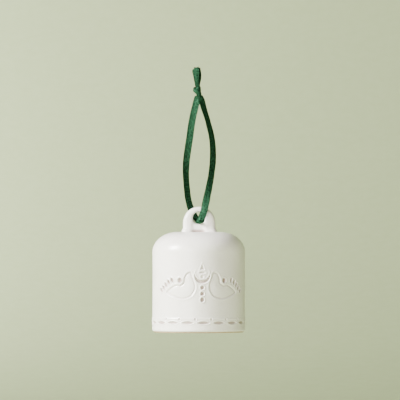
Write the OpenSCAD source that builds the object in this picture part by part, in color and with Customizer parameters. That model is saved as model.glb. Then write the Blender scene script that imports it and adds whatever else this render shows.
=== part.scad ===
// Stoneware bell ornament on a satin ribbon: the bell with its lug, the clapper inside it,
// and the knotted ribbon that it hangs by. Millimetres, +Z up, the front of the bell faces -Y.
// The origin is where the ribbon's two strands part under the knot, on the bell's own axis.

/* [Bell] */
// Outside diameter of the bell wall
bell_d = 57; // [54:0.5:60]
// Height from the rim to the flat crown
bell_h = 61.75; // [58:0.25:68]
// Thickness of the wall at the rim
wall = 4; // [3.5:0.25:4.5]
// Thickness of the crown, over the clapper
crown_t = 3.75; // [3.5:0.25:5]
// Height of the thicker hem band above the rim
hem_h = 8.8; // [8:0.2:10]
// How far the hem band stands out from the wall
hem_out = 0.3; // [0.2:0.05:0.5]

/* [Stamped pattern] */
// Depth of the two birds
bird_deep = 0.35; // [0.2:0.05:0.6]
// Depth of the smaller marks
mark_deep = 0.5; // [0.3:0.05:0.8]
// Turn of the pattern's centre line from the front
motif_turn = 4.5; // [-10:0.5:10]
// Number of leaf marks round the hem
hem_marks = 18; // [16:1:18]

/* [Lug] */
// Width of the lug
lug_w = 19.8; // [19:0.2:22]
// Height of the lug above the crown
lug_h = 15.5; // [15:0.1:16.5]
// Thickness of the lug from front to back
lug_t = 8; // [7:0.25:8]
// How far the arch stands to the right of the bell's axis
lug_off = 0.3; // [0:0.1:0.6]
// Radius of the hole that the ribbon goes through
hole_r = 3.6; // [3.6:0.1:4]
// Height of the hole's centre above the crown
hole_up = 8.75; // [8.7:0.05:9]

/* [Clapper] */
// Radius from the centre of the eye under the crown to the middle of its bar
eye_r = 4; // [4:0.1:4.5]
// Radius of the eye's bar
bar_r = 1.4; // [1.2:0.1:1.5]
// Radius of the clapper's cord
cord_r = 0.7; // [0.5:0.05:0.8]
// Radius of the wooden bead
bead_r = 7; // [6:0.25:7]
// Radius of the bead's bore
bead_bore_r = 1.5; // [1.2:0.1:1.8]
// Height of the bead's centre above the rim
bead_up = 13.5; // [13.5:0.5:16]

/* [Ribbon] */
// Distance from the parting of the strands down to the crown
drop = 78.75; // [78.5:0.25:79]
// Thickness of the ribbon
ribbon_t = 0.4; // [0.3:0.05:0.5]

/* [Hidden] */
$fn = 96;

bell_r = bell_d / 2;
hem_r = bell_r + hem_out;
bore_r = bell_r - wall;
crown_z = -drop;
rim_z = crown_z - bell_h;
ceiling_z = crown_z - crown_t;
hole_z = crown_z + hole_up;

// The shoulder is a quarter ellipse between the flat crown and the straight wall.
flat_r = 13.1;
shoulder_h = 12.3;
inner_flat_r = 12;
inner_shoulder_h = 11;
shoulder_steps = 14;

// The bare foot ring under the glaze.
foot_h = 0.9;
foot_in = 0.5;
glaze_round = 0.9;

// The clapper hangs from the lowest point of the eye's bar.
bar_z = ceiling_z - eye_r;
loop_r = bar_r + 0.3 + cord_r;
top_knot_r = 1.8;
top_knot_z = bar_z - loop_r - cord_r - 0.3 - top_knot_r;
bead_z = rim_z + bead_up;
end_knot_r = 2.2;
end_knot_z = bead_z - sqrt(pow(bead_r, 2) - pow(bead_bore_r, 2))
  - sqrt(pow(end_knot_r, 2) - pow(bead_bore_r, 2)) - 0.05;
cord_end_z = end_knot_z - end_knot_r - 1.6;

// The ribbon's route, down the rear strand, forward through the lug and up the front strand.
// Each row is [x, y, z, turn of the face from straight ahead, width].
route = [
  [-1.1, 0.6, 5, -10, 2.8],
  [-1.3, 0.8, 2.9, -10, 3.6],
  [-1.6, 0.6, 0.7, -10, 4.3],
  // the bend under the knot
  [-1.9, 0.6, -0.7, -10, 4.3],
  [-3.3, 0.8, -6.5, -10, 4.3],
  [-4.6, 1.2, -13.5, -8, 4.3],
  [-5.4, 1.6, -19.5, -5, 4.3],
  [-6.4, 2.0, -26, 0, 4.3],
  [-7.3, 2.4, -32, 6, 4.3],
  [-7.9, 2.8, -39, 18, 4.3],
  [-7.9, 3.2, -44, 28, 4.3],
  [-7.6, 3.6, -49.5, 30, 4.3],
  [-7.1, 4.0, -54.5, 30, 4.3],
  // the middle of the twist
  [-7.0, 4.1, -55.6, 30, 4.3],
  [-6.2, 4.9, -60, 28, 4.3],
  [-5.2, 5.6, -63.5, 22, 4.3],
  [-3.8, 5.9, -67, 14, 4.3],
  [-2.4, 5.9, -69.8, 6, 4.3],
  [-1.7, 5.4, -71.3, 0, 4.3],
  [-1.4, 4.3, -71.9, 0, 4.3],
  [-1.4, 2.4, -72.1, 0, 4.3],
  [-1.2, 0, -72.1, 0, 4.3],
  [-0.9, -2.2, -72.3, 0, 4.3],
  [-0.4, -4.2, -72.5, 0, 4.3],
  [0.1, -5.4, -72.7, 0, 4.3],
  [0.7, -6.2, -72.1, 0, 4.4],
  [1.5, -6.5, -70.8, -2, 4.5],
  [2.3, -6.3, -68.6, -5, 4.5],
  [3.2, -5.9, -65.8, -8, 4.5],
  [3.9, -5.5, -62.8, -8, 4.5],
  [4.6, -5, -59.5, -2, 4.5],
  [5.4, -4.6, -55.6, 8, 4.3],
  // the middle of the twist
  [5.7, -4.6, -54.5, 10, 4.3],
  [6.5, -4.1, -50.5, 18, 4.3],
  [7.4, -3.7, -46, 26, 4.3],
  [8.0, -3.3, -41.5, 28, 4.3],
  [8.6, -2.8, -36, 28, 4.3],
  [8.8, -2.4, -30.5, 28, 4.3],
  [8.6, -2.0, -25.5, 32, 4.3],
  [8.0, -1.6, -20.5, 36, 4.3],
  [6.8, -1.2, -15, 40, 4.3],
  [5.2, -0.8, -9, 42, 4.3],
  [3.9, -0.6, -5, 38, 4.3],
  [2.6, -0.4, -0.7, 30, 4.3],
  // the bend under the knot
  [2.2, -0.4, 0.7, 28, 4.3],
  [1.6, -0.9, 3, 20, 3.8],
  [1.0, -0.8, 5, 5, 2.9]
];
neck_end = 2;
twist_left = 12;
twist_right = 32;
neck_start = 44;

// In the hole the strip lies flat on the round floor, and turns to it in front and behind.
lie_y = 5.6;
lie_run = 1.4;

// The knot is flat where the strands go in below it and where the tails come out above it.
knot_low = 5.5;
knot_high = 11.2;

// The two cut ends that stand above the knot.
front_tail = [
  [-1.2, -0.6, 11.6, -5, 2.2],
  [-1.4, -0.8, 13.4, -8, 2.6],
  [-1.6, -0.9, 15.6, -10, 3.2],
  [-1.7, -0.9, 18, -10, 3.9],
  [-1.9, -0.9, 20, -10, 4.3],
  [-2.0, -0.8, 21.6, -10, 4.3]
];
rear_tail = [
  [-0.6, 0.5, 11.6, 12, 2.4],
  [-0.5, 0.9, 13.6, 22, 3.4],
  [-0.3, 1.2, 16.2, 28, 4.3],
  [-0.3, 1.3, 18.6, 28, 4.3],
  [-0.7, 1.3, 20.8, 28, 4.3],
  [-1.1, 1.3, 22.5, 28, 4.3]
];

// The outline of the right bird, as arc length from the pattern's centre line and height
// above the rim: beak, crest, back, tail, belly, breast and throat.
bird = [
  [7.1, 37], [9.5, 36.4], [11.2, 33.6], [11.6, 30.8], [13.9, 29.1], [16.5, 29.4],
  [19.7, 28.2], [22.8, 26.2], [23.7, 24.4], [18.6, 22.3], [15, 21.2], [11.1, 21],
  [7.1, 22.6], [5, 25.4], [4.3, 28.6], [5.3, 32.3], [6.3, 34.6]
];
bird_mid = 14;

// The five dashes that fan over the tail: arc length, height and lean.
dashes = [[19.8, 32.3, 22], [22.4, 31.1, 27], [24.6, 29.4, 38], [26.6, 27.6, 44], [28.7, 26, 46]];
dash_size = [2.8, 1.15];

// The marks on the centre line, by their height above the rim.
drop_up = 40.3;
brow_up = 37;
brow_size = [3.4, 1.1];
cup_up = 34.6;
cup_r = 4.6;
cup_high = 1.7;
cup_flat = 0.9;
cup_dot_up = 34.5;
cup_dot_r = 0.8;
button_ups = [27.8, 24.1, 20.4];
button_r = 1.25;
crest_dot = [14.3, 32.3];
crest_dot_r = 1.3;

// The leaf marks round the hem.
hem_leaf_up = 6.2;
hem_leaf_size = [7.8, 1.6];
hem_leaf_start = 6;

// How far a stamp's outline reaches behind the wall's surface and in front of it.
stamp_in = 3;
stamp_out = 2;

arc_deg = 180 / (PI * bell_r);

function ellipse_arc(r, z, a, b, steps) =
  [for (i = [0 : steps]) let (t = 90 * i / steps) [r + a * sin(t), z + b * cos(t)]];

function spot(r, i) = [r[i][0], r[i][1], r[i][2]];
function unit(v) = v / norm(v);
function along(r, i) = unit(spot(r, min(i + 1, len(r) - 1)) - spot(r, max(i - 1, 0)));
// How fully a point of the ribbon lies on the hole's floor, from 0 to 1.
function lies(p) = p[2] < hole_z ? max(0, min(1, (lie_y - abs(p[1])) / lie_run)) : 0;
function across(r, i) =
  let (
    t = along(r, i),
    p = spot(r, i),
    free = [cos(r[i][3]), sin(r[i][3]), 0],
    laid = unit([hole_z - p[2], 0, p[0]]),
    w = free * (1 - lies(p)) + laid * lies(p)
  )
  unit(w - (w * t) * t);
function part_of(r, from, to) = [for (i = [from : to]) r[i]];

// A point on the smooth closed curve through the points of an outline.
function curve(p, i, t) =
  let (n = len(p), a = p[(i + n - 1) % n], b = p[i], c = p[(i + 1) % n], d = p[(i + 2) % n])
  0.5 * (2 * b + (c - a) * t + (2 * a - 5 * b + 4 * c - d) * pow(t, 2)
    + (3 * b - a - 3 * c + d) * pow(t, 3));
function smooth(p, steps) = [for (i = [0 : len(p) - 1], k = [0 : steps - 1]) curve(p, i, k / steps)];

// A flat strip with softened edges, swept along the rows of a route.
module strip(r) {
  edge = [
    [0.5, 0.2], [0.47, 0.5], [-0.47, 0.5], [-0.5, 0.2],
    [-0.5, -0.2], [-0.47, -0.5], [0.47, -0.5], [0.5, -0.2]
  ];
  n = len(r);
  m = len(edge);
  points = [
    for (i = [0 : n - 1])
      let (a = across(r, i), b = cross(along(r, i), a))
      for (e = edge) spot(r, i) + a * e[0] * r[i][4] + b * e[1] * ribbon_t
  ];
  sides = [
    for (i = [0 : n - 2], k = [0 : m - 1], half = [0, 1])
      let (p = i * m + k, q = i * m + (k + 1) % m)
      half == 0 ? [p, q, q + m] : [p, q + m, p + m]
  ];
  start = [for (k = [m - 1 : -1 : 0]) k];
  finish = [for (k = [0 : m - 1]) (n - 1) * m + k];
  polyhedron(points, concat(sides, [start, finish]));
}

// Lays a flat outline against the wall, at a turn from the front and a height above the rim.
module on_wall(turn, height) {
  rotate([0, 0, turn])
    translate([0, stamp_in - bell_r, rim_z + height])
      rotate([90, 0, 0])
        linear_extrude(stamp_in + stamp_out) children();
}

// A round dimple pressed into the wall, at a turn from the front and a height above the rim.
module dimple(turn, height, r) {
  ball_r = (pow(r, 2) + pow(mark_deep, 2)) / (2 * mark_deep);
  rotate([0, 0, turn])
    translate([0, -(bell_r + ball_r - mark_deep), rim_z + height])
      sphere(ball_r, $fn = 48);
}

// Two arcs that meet in points, by its width and height.
module leaf(size) {
  r = (pow(size[0], 2) + pow(size[1], 2)) / (4 * size[1]);
  intersection() {
    translate([0, size[1] / 2 - r]) circle(r, $fn = 64);
    translate([0, r - size[1] / 2]) circle(r, $fn = 64);
  }
}

module bird_outline() {
  polygon([for (p = smooth(bird, 3)) [bell_r * sin((p[0] - bird_mid) * arc_deg), p[1]]]);
}

// The birds, pressed as shallow pockets, one the mirror of the other.
module birds() {
  on_wall(motif_turn + bird_mid * arc_deg, 0) bird_outline();
  on_wall(motif_turn - bird_mid * arc_deg, 0) mirror([1, 0]) bird_outline();
}

// The drop, dash and cup between the birds' heads, and the dashes over their tails.
module marks() {
  on_wall(motif_turn, drop_up) polygon([[-1.1, -1.4], [1.1, -1.4], [0, 1.5]]);
  on_wall(motif_turn, brow_up) leaf(brow_size);
  on_wall(motif_turn, cup_up)
    difference() {
      circle(cup_r, $fn = 64);
      translate([0, cup_high]) circle(cup_r, $fn = 64);
      translate([-cup_r - 1, cup_flat]) square([2 * cup_r + 2, cup_r]);
    }
  for (side = [-1, 1], d = dashes)
    on_wall(motif_turn + side * d[0] * arc_deg, d[1]) rotate(90 - side * d[2]) leaf(dash_size);
}

module dimples() {
  dimple(motif_turn, cup_dot_up, cup_dot_r);
  for (height = button_ups) dimple(motif_turn, height, button_r);
  for (side = [-1, 1]) dimple(motif_turn + side * crest_dot[0] * arc_deg, crest_dot[1], crest_dot_r);
}

module hem_leaves() {
  for (k = [0 : hem_marks - 1])
    on_wall(hem_leaf_start + 360 / hem_marks * k, hem_leaf_up) leaf(hem_leaf_size);
}

// The wall's own body, turned on the wheel or cast, before anything is pressed into it.
module shell_body() {
  outer = concat(
    [[0, bell_h]],
    ellipse_arc(flat_r, bell_h - shoulder_h, bell_r - flat_r, shoulder_h, shoulder_steps),
    [
      [bell_r, hem_h + 0.6], [hem_r, hem_h], [hem_r, foot_h + glaze_round],
      [hem_r - 0.3, foot_h + 0.25], [hem_r - foot_in, foot_h], [hem_r - foot_in - 0.1, 0]
    ]
  );
  inner = concat(
    [[bore_r + 0.5, 0], [bore_r, 0.8]],
    [
      for (i = [shoulder_steps : -1 : 0])
        let (t = 90 * i / shoulder_steps)
        [
          inner_flat_r + (bore_r - inner_flat_r) * sin(t),
          bell_h - crown_t - inner_shoulder_h + inner_shoulder_h * cos(t)
        ]
    ],
    [[0, bell_h - crown_t]]
  );
  translate([0, 0, rim_z]) rotate_extrude() polygon(concat(outer, inner));
}

module band(low, high, out_r, in_r) {
  translate([0, 0, rim_z + low])
    difference() {
      cylinder(h = high - low, r = out_r);
      translate([0, 0, -1]) cylinder(h = high - low + 2, r = in_r);
    }
}

module bell_shell() {
  color([0.93, 0.92, 0.89])
    difference() {
      shell_body();
      intersection() {
        birds();
        band(15, 40, bell_r + 3, bell_r - bird_deep);
      }
      intersection() {
        marks();
        band(15, 45, bell_r + 3, bell_r - mark_deep);
      }
      intersection() {
        hem_leaves();
        band(3, 9, bell_r + 3, hem_r - mark_deep);
      }
      dimples();
    }
}

// A rectangle with round corners, centred.
module round_rect(w, h, r) {
  square([w, h - 2 * r], center = true);
  square([w - 2 * r, h], center = true);
  for (x = [-1, 1], y = [-1, 1]) translate([x * (w / 2 - r), y * (h / 2 - r)]) circle(r);
}

// The loop on top: an arch with rounded front and back edges on a low spread foot.
module crown_lug() {
  arch_r = lug_w / 2;
  side_round = 2.8;
  // The section runs on below the crown, so that only its top edges are round.
  section_low = 10;
  foot_size = [lug_w + 1.6, lug_t + 1];
  foot_round = 3.5;
  foot_up = 1;
  color([0.93, 0.92, 0.89])
    difference() {
      union() {
        intersection() {
          translate([lug_off, lug_t / 2, crown_z])
            rotate([90, 0, 0])
              linear_extrude(lug_t) {
                intersection() {
                  translate([0, lug_h - arch_r]) circle(arch_r);
                  translate([-arch_r, 0]) square([lug_w, lug_h]);
                }
                translate([-arch_r, 0]) square([lug_w, lug_h - arch_r]);
              }
          translate([-lug_w, 0, crown_z + (lug_h - section_low) / 2])
            rotate([90, 0, 90])
              linear_extrude(2 * lug_w) round_rect(lug_t, lug_h + section_low, side_round);
        }
        translate([0, 0, crown_z])
          linear_extrude(foot_up) round_rect(foot_size[0], foot_size[1], foot_round);
      }
      translate([0, lug_t, hole_z]) rotate([90, 0, 0]) cylinder(h = 2 * lug_t, r = hole_r);
    }
}

// The eye under the crown: half a ring of clay, in the plane that faces the front.
module clapper_eye() {
  color([0.9, 0.88, 0.84])
    translate([0, 0, ceiling_z])
      rotate([-90, 0, 0])
        rotate_extrude(angle = 180) translate([eye_r, 0]) circle(bar_r, $fn = 48);
}

// The cord's loop round the bar of the eye.
module clapper_loop() {
  color([0.85, 0.8, 0.68])
    translate([0, 0, bar_z])
      rotate([0, 90, 0])
        rotate_extrude() translate([loop_r, 0]) circle(cord_r, $fn = 32);
}

// A knot is a ball with the cord through it.
module ball_knot(z, r) {
  translate([0, 0, z])
    difference() {
      sphere(r, $fn = 48);
      cylinder(h = 4 * r, r = cord_r, center = true, $fn = 32);
    }
}

module clapper_knot() {
  color([0.85, 0.8, 0.68]) ball_knot(top_knot_z, top_knot_r);
}

module clapper_cord() {
  color([0.85, 0.8, 0.68])
    translate([0, 0, cord_end_z])
      cylinder(h = top_knot_z + top_knot_r - 0.2 - cord_end_z, r = cord_r, $fn = 32);
}

module clapper_bead() {
  color([0.76, 0.6, 0.4])
    translate([0, 0, bead_z])
      difference() {
        sphere(bead_r);
        cylinder(h = 3 * bead_r, r = bead_bore_r, center = true);
      }
}

module clapper_end_knot() {
  color([0.85, 0.8, 0.68]) ball_knot(end_knot_z, end_knot_r);
}

// The overhand knot that gathers both strands, pulled to a small block with one sharp fold.
module ribbon_knot() {
  color([0.12, 0.3, 0.18])
    intersection() {
      hull() {
        translate([-0.4, 0, 7.9]) sphere(2.2, $fn = 24);
        translate([-3.1, 0, 8.5]) sphere(0.5, $fn = 12);
        translate([-0.6, 0, 10.6]) sphere(1.5, $fn = 24);
        translate([-0.2, 0, 5.8]) sphere(1.8, $fn = 24);
      }
      translate([-6, -6, knot_low]) cube([12, 12, knot_high - knot_low]);
    }
}

module ribbon_tails() {
  color([0.2, 0.42, 0.27]) {
    strip(front_tail);
    strip(rear_tail);
  }
}

// The crossing strands between the knot and the bend over the hook.
module ribbon_neck() {
  color([0.2, 0.42, 0.27]) {
    strip(part_of(route, 0, neck_end));
    strip(part_of(route, neck_start, len(route) - 1));
  }
}

// The two strands that hang from the bend to the middle of the twist.
module ribbon_strands() {
  color([0.2, 0.42, 0.27]) {
    strip(part_of(route, neck_end + 1, twist_left));
    strip(part_of(route, twist_right, neck_start - 1));
  }
}

// The lower ends of the strands, and the bight that goes through the lug.
module ribbon_bight() {
  color([0.2, 0.42, 0.27]) strip(part_of(route, twist_left + 1, twist_right - 1));
}

ribbon_tails();
ribbon_knot();
ribbon_neck();
ribbon_strands();
ribbon_bight();
bell_shell();
crown_lug();
clapper_eye();
clapper_loop();
clapper_knot();
clapper_cord();
clapper_bead();
clapper_end_knot();
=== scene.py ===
import math

import bmesh
import bpy
import numpy as np
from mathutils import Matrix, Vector


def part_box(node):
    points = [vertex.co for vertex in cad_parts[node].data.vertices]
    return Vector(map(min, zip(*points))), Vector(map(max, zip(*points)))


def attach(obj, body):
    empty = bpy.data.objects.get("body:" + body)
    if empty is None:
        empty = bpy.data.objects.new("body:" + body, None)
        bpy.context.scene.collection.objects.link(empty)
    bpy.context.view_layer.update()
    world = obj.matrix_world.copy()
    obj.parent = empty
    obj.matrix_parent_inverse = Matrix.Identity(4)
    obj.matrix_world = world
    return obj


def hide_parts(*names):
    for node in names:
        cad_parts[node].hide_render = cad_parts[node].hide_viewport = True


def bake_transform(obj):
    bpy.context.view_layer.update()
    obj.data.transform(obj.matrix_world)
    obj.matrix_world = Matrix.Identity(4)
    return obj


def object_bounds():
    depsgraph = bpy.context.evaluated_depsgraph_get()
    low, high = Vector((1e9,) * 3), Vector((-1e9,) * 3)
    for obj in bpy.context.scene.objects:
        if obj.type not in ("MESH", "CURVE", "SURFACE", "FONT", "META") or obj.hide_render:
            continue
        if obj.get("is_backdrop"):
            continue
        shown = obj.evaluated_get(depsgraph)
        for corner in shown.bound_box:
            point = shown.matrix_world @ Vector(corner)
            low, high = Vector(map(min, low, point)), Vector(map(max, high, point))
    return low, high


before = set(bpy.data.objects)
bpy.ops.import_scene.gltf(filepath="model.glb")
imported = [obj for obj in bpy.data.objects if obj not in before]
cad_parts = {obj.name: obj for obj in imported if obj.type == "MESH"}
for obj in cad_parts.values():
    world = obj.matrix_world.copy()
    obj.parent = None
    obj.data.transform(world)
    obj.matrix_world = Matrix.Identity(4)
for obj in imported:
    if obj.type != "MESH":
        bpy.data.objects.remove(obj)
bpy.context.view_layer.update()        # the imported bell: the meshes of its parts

MM = 0.001

# ---------------------------------------------------------------------------
# Camera
# A very long lens, level with the middle of the ornament and square on to the
# stamped front, so that the bell's rim and crown stay straight lines.
# ---------------------------------------------------------------------------
camera_distance = 4.0
view_width = 246.2 * MM
view_middle = Vector((0.75 * MM, 0, -59.1 * MM))

camera_data = bpy.data.cameras.new("camera")
camera_data.sensor_width = 36
camera_data.lens = camera_data.sensor_width * camera_distance / view_width
camera_data.clip_start = 0.1
camera_data.clip_end = 40
camera = bpy.data.objects.new("camera", camera_data)
camera.location = view_middle + Vector((0, -camera_distance, 0))
camera.rotation_euler = (math.radians(90), 0, 0)
bpy.context.collection.objects.link(camera)
bpy.context.scene.camera = camera

# ---------------------------------------------------------------------------
# The ribbon's loop
# One strip of double-faced green satin, 4.3 mm wide with a corded selvedge. It
# hangs down the back, goes forward through the lug and up the front, slack
# enough to bow out and to twist on each side.
# ---------------------------------------------------------------------------
ribbon_thick = 0.28 * MM
selvedge_thick = 0.4 * MM
ribbon_step = 0.35 * MM

# Each row is x, y and z in metres, the turn of the face from straight ahead in
# degrees, and the width. The CAD strips follow the same rows.
route = [
    (-0.0011, 0.0006, 0.0050, -10, 0.0028),
    (-0.0013, 0.0008, 0.0029, -10, 0.0036),
    (-0.0016, 0.0006, 0.0007, -10, 0.0043),
    (-0.0019, 0.0006, -0.0007, -10, 0.0043),
    (-0.0033, 0.0008, -0.0065, -10, 0.0043),
    (-0.0046, 0.0012, -0.0135, -8, 0.0043),
    (-0.0054, 0.0016, -0.0195, -5, 0.0043),
    (-0.0064, 0.0020, -0.0260, 0, 0.0043),
    (-0.0073, 0.0024, -0.0320, 6, 0.0043),
    (-0.0079, 0.0028, -0.0390, 18, 0.0043),
    (-0.0079, 0.0032, -0.0440, 28, 0.0043),
    (-0.0076, 0.0036, -0.0495, 30, 0.0043),
    (-0.0071, 0.0040, -0.0545, 30, 0.0043),
    (-0.0070, 0.0041, -0.0556, 30, 0.0043),
    (-0.0062, 0.0049, -0.0600, 28, 0.0043),
    (-0.0052, 0.0056, -0.0635, 22, 0.0043),
    (-0.0038, 0.0059, -0.0670, 14, 0.0043),
    (-0.0024, 0.0059, -0.0698, 6, 0.0043),
    (-0.0017, 0.0054, -0.0713, 0, 0.0043),
    (-0.0014, 0.0043, -0.0719, 0, 0.0043),
    (-0.0014, 0.0024, -0.0721, 0, 0.0043),
    (-0.0012, 0.0000, -0.0721, 0, 0.0043),
    (-0.0009, -0.0022, -0.0723, 0, 0.0043),
    (-0.0004, -0.0042, -0.0725, 0, 0.0043),
    (0.0001, -0.0054, -0.0727, 0, 0.0043),
    (0.0007, -0.0062, -0.0721, 0, 0.0044),
    (0.0015, -0.0065, -0.0708, -2, 0.0045),
    (0.0023, -0.0063, -0.0686, -5, 0.0045),
    (0.0032, -0.0059, -0.0658, -8, 0.0045),
    (0.0039, -0.0055, -0.0628, -8, 0.0045),
    (0.0046, -0.0050, -0.0595, -2, 0.0045),
    (0.0054, -0.0046, -0.0556, 8, 0.0043),
    (0.0057, -0.0046, -0.0545, 10, 0.0043),
    (0.0065, -0.0041, -0.0505, 18, 0.0043),
    (0.0074, -0.0037, -0.0460, 26, 0.0043),
    (0.0080, -0.0033, -0.0415, 28, 0.0043),
    (0.0086, -0.0028, -0.0360, 28, 0.0043),
    (0.0088, -0.0024, -0.0305, 28, 0.0043),
    (0.0086, -0.0020, -0.0255, 32, 0.0043),
    (0.0080, -0.0016, -0.0205, 36, 0.0043),
    (0.0068, -0.0012, -0.0150, 40, 0.0043),
    (0.0052, -0.0008, -0.0090, 42, 0.0043),
    (0.0039, -0.0006, -0.0050, 38, 0.0043),
    (0.0026, -0.0004, -0.0007, 30, 0.0043),
    (0.0022, -0.0004, 0.0007, 28, 0.0043),
    (0.0016, -0.0009, 0.0030, 20, 0.0038),
    (0.0010, -0.0008, 0.0050, 5, 0.0029),
]
# The neck's stretches end where the loop's begins, at this height.
neck_low = -0.012


class Wire:
    """One output of a finish's nodes. Sums and products on it add Math nodes."""

    def __init__(self, finish, socket):
        self.finish = finish
        self.socket = socket

    def maths(self, operation, first, second):
        return self.finish.node("ShaderNodeMath", {"operation": operation}, {0: first, 1: second})

    def __add__(self, other):
        return self.maths("ADD", self, other)

    def __sub__(self, other):
        return self.maths("SUBTRACT", self, other)

    def __rsub__(self, other):
        return self.maths("SUBTRACT", other, self)

    def __mul__(self, other):
        return self.maths("MULTIPLY", self, other)

    __radd__ = __add__
    __rmul__ = __mul__


class Finish:
    """One material, built node by node."""

    def __init__(self, name):
        self.material = bpy.data.materials.new(name)
        self.material.use_nodes = True
        self.tree = self.material.node_tree
        self.tree.nodes.clear()

    def node(self, kind, settings=None, values=None, out=0):
        made = self.tree.nodes.new(kind)
        for name, value in (settings or {}).items():
            if name == "stops":
                ramp = made.color_ramp.elements
                while len(ramp) < len(value):
                    ramp.new(0.5)
                for stop, (place, tint) in zip(ramp, value):
                    stop.position = place
                    stop.color = tint
            else:
                setattr(made, name, value)
        for name, value in (values or {}).items():
            if isinstance(value, Wire):
                self.tree.links.new(value.socket, made.inputs[name])
            else:
                made.inputs[name].default_value = value
        return Wire(self, made.outputs[out]) if made.outputs else made

    def mix(self, amount, first, second):
        sides = {0: amount, 6: first, 7: second}
        return self.node("ShaderNodeMix", {"data_type": "RGBA"}, sides, out=2)

    def ramp(self, value, stops):
        return self.node("ShaderNodeValToRGB", {"stops": stops}, {0: value})

    def grey(self, value, low, high):
        return self.node(
            "ShaderNodeMapRange", {"clamp": True}, {0: value, 1: low, 2: high, 3: 0.0, 4: 1.0}
        )

    def noise(self, place, scale, detail=3.0, rough=0.5):
        return self.node(
            "ShaderNodeTexNoise", {},
            {"Vector": place, "Scale": scale, "Detail": detail, "Roughness": rough},
        )

    def bump(self, height, distance, strength=1.0, under=None):
        values = {"Height": height, "Distance": distance, "Strength": strength}
        if under is not None:
            values["Normal"] = under
        return self.node("ShaderNodeBump", {}, values)

    def surface(self, **values):
        named = {name.replace("_", " ").title(): value for name, value in values.items()}
        named = {name.replace("Ior", "IOR"): value for name, value in named.items()}
        shader = self.node("ShaderNodeBsdfPrincipled", {}, named)
        self.node("ShaderNodeOutputMaterial", {}, {"Surface": shader})
        return self.material


def colour(red, green, blue):
    return (red, green, blue, 1.0)


def new_piece(name, points, faces, material, sharp_over=40):
    """A mesh object at the origin, smooth but for edges sharper than the angle given."""
    mesh = bpy.data.meshes.new(name)
    mesh.from_pydata([tuple(p) for p in points], [], [tuple(f) for f in faces])
    shell = bmesh.new()
    shell.from_mesh(mesh)
    bmesh.ops.recalc_face_normals(shell, faces=shell.faces)
    shell.to_mesh(mesh)
    shell.free()
    mesh.shade_smooth()
    mesh.set_sharp_from_angle(angle=math.radians(sharp_over))
    mesh.materials.append(material)
    piece = bpy.data.objects.new(name, mesh)
    bpy.context.collection.objects.link(piece)
    return piece


def swept_faces(rows, ring):
    """Faces that join rings of points one after another, with both ends closed."""
    faces = [
        (i * ring + k, i * ring + (k + 1) % ring, (i + 1) * ring + (k + 1) % ring, (i + 1) * ring + k)
        for i in range(rows - 1) for k in range(ring)
    ]
    return faces + [tuple(range(ring)), tuple((rows - 1) * ring + k for k in range(ring))]


def between(t, low, high, first, last):
    return (high - t) / (high - low) * first + (t - low) / (high - low) * last


def smooth_rows(rows, step):
    """Rows at an even step along the curve through the given rows."""
    knots = np.array(rows, float)
    ends = np.vstack([2 * knots[0] - knots[1], knots, 2 * knots[-1] - knots[-2]])
    chord = np.linalg.norm(np.diff(ends[:, :3], axis=0), axis=1)
    at = np.concatenate([[0], np.cumsum(np.sqrt(chord))])
    fine = []
    for i in range(1, len(ends) - 2):
        t = np.linspace(at[i], at[i + 1], 24, endpoint=False)[:, None]
        before, here, there, after = at[i - 1], at[i], at[i + 1], at[i + 2]
        a1 = between(t, before, here, ends[i - 1], ends[i])
        a2 = between(t, here, there, ends[i], ends[i + 1])
        a3 = between(t, there, after, ends[i + 1], ends[i + 2])
        b1 = between(t, before, there, a1, a2)
        b2 = between(t, here, after, a2, a3)
        fine.append(between(t, here, there, b1, b2))
    fine = np.vstack(fine + [ends[-2:-1]])
    length = np.concatenate([[0], np.cumsum(np.linalg.norm(np.diff(fine[:, :3], axis=0), axis=1))])
    even = np.linspace(0, length[-1], max(3, int(round(length[-1] / step)) + 1))
    return np.stack([np.interp(even, length, fine[:, k]) for k in range(fine.shape[1])], axis=1)


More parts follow.
